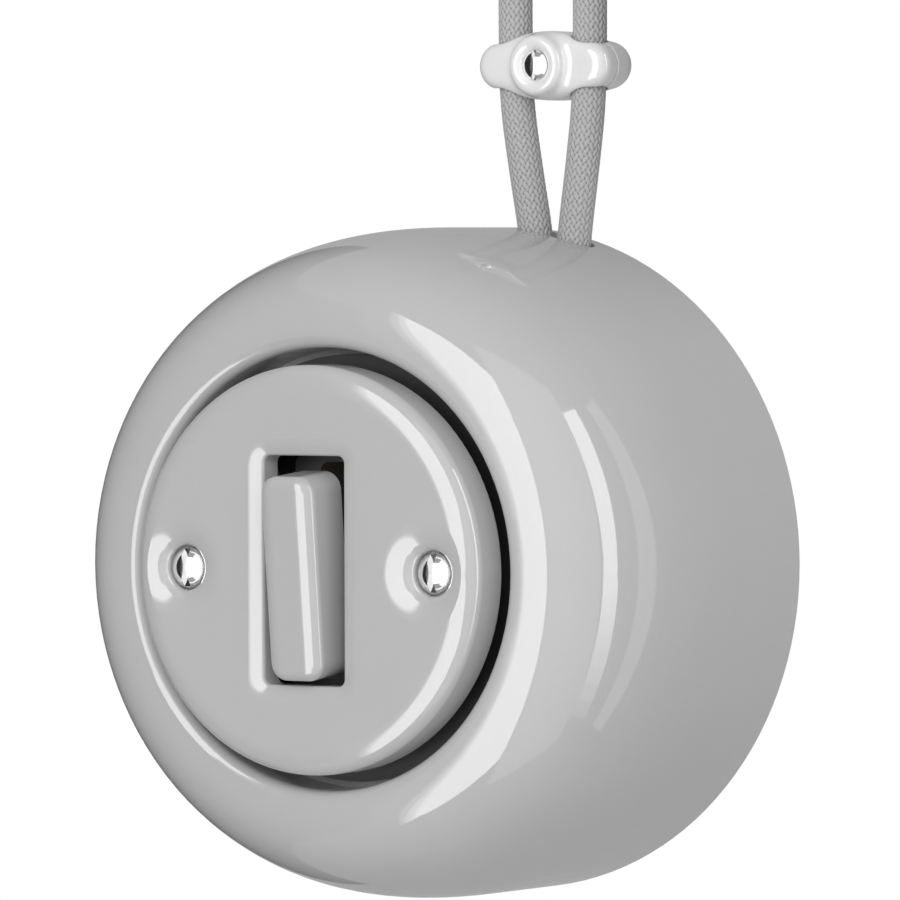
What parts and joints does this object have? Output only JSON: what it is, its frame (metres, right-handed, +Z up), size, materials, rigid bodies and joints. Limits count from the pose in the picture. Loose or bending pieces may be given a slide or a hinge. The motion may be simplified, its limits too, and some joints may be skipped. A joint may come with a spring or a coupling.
{
  "type": "porcelain button switch",
  "caption": "Round surface-mounted porcelain light switch with a domed cover disc, a rocker button, and textile-covered cables held by a small cleat above it.",
  "frame": {"origin": "on the wall, behind the middle of the housing, halfway between the wall slots of the base plate", "axes": "+Z up the wall, +X to the right as seen from the room, -Y out of the wall into the room"},
  "size_m": [0.1, 0.0752, 0.151],
  "materials": {
    "grey_porcelain": "glossy grey glaze",
    "rocker_porcelain": "glossy grey glaze",
    "polished_screws": "polished",
    "black_steel": "blackened",
    "steel": "plain",
    "bare_ceramic": "unglazed",
    "brass": "plain",
    "phenolic": "moulded",
    "white_glaze": "glossy white glaze",
    "grey_braid": "braided textile",
    "core_insulation": "extruded"
  },
  "bodies": {
    "switch_body": {"housing": "grey_porcelain", "cover_disc": "grey_porcelain", "cover_screws": "polished_screws", "support_ring": "black_steel", "ring_screws": "steel", "base_plate": "bare_ceramic", "base_inserts": "brass", "mechanism_body": "bare_ceramic", "mechanism_screws": "steel", "upper_terminal": "brass", "lower_terminal": "brass", "common_terminal": "brass", "terminal_screws": "brass", "pivot_pin": "steel", "cable_left": "grey_braid", "cable_right": "grey_braid", "cable_left_cores": "core_insulation", "cable_right_cores": "core_insulation", "live_core": "core_insulation", "switched_core": "core_insulation", "neutral_core_left": "core_insulation", "neutral_core_right": "core_insulation", "strain_relief_bar": "phenolic", "strain_relief_screws": "steel", "neutral_connector": "bare_ceramic", "connector_screws": "brass", "cleat_base": "white_glaze", "cleat_cap": "white_glaze", "cleat_screw": "polished_screws"},
    "rocker": {"rocker_key": "rocker_porcelain", "rocker_cradle": "phenolic", "plunger_spring": "steel"},
    "plunger": {"plunger": "brass"},
    "contact": {"moving_contact": "brass"}
  },
  "joints": [
    {"name": "rocker_tilt", "type": "hinge", "parent": "switch_body", "child": "rocker", "pos_m": [0, -0.0485, 0], "axis": [-1, 0, 0], "range_deg": [0, 11]},
    {"name": "plunger_slide", "type": "slide", "parent": "rocker", "child": "plunger", "axis": [0, -0.9954, -0.0958], "range_m": [0, 0.0008], "stiffness_N_per_m": 300, "springref_m": -0.001, "deforming": ["plunger_spring"]},
    {"name": "contact_tilt", "type": "hinge", "parent": "switch_body", "child": "contact", "pos_m": [0, -0.0345, 0], "axis": [1, 0, 0], "range_deg": [0, 8]}
  ],
  "couplings": [
    {"joint": "contact_tilt", "follows": "rocker_tilt", "ratio": 0.72727}
  ]
}
